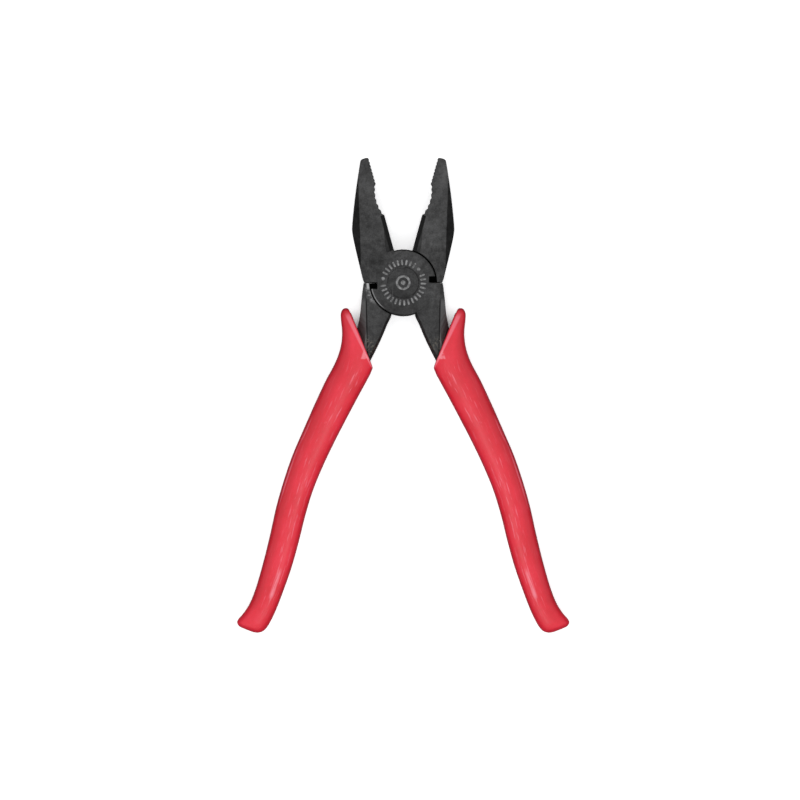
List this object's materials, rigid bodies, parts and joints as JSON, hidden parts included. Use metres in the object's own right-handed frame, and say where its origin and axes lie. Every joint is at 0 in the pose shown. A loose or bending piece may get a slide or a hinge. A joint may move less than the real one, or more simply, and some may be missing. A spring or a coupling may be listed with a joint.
{
  "type": "lineman pliers",
  "caption": "Lap-joint combination pliers with serrated tips, pipe grip, side cutters, wire-shear notches and slip-on plastic guard grips.",
  "frame": {"origin": "on the pivot axis, at the back face of the joint, where the pliers lie on a table", "axes": "+Y from the pivot towards the jaw tips, +Z along the pivot axis from the back face to the front face, +X to the right seen from the front"},
  "size_m": [0.135, 0.1936, 0.0115],
  "materials": {
    "black_steel": "satin black oxide over forged and ground steel",
    "black_steel_rear": "satin black oxide over forged and ground steel",
    "rivet_steel": "satin black oxide, ground flush with the joint's faces",
    "red_grip": "glossy soft red plastic",
    "red_grip_rear": "glossy soft red plastic"
  },
  "bodies": {
    "rear_body": {"rear_half": "black_steel_rear", "pivot_rivet": "rivet_steel", "rear_grip": "red_grip_rear"},
    "front_body": {"front_half": "black_steel", "front_grip": "red_grip"}
  },
  "joints": [
    {"name": "pivot", "type": "hinge", "parent": "rear_body", "child": "front_body", "pos_m": [0, 0, 0.00575], "axis": [0, 0, 1], "range_deg": [-31, 1.2]}
  ]
}
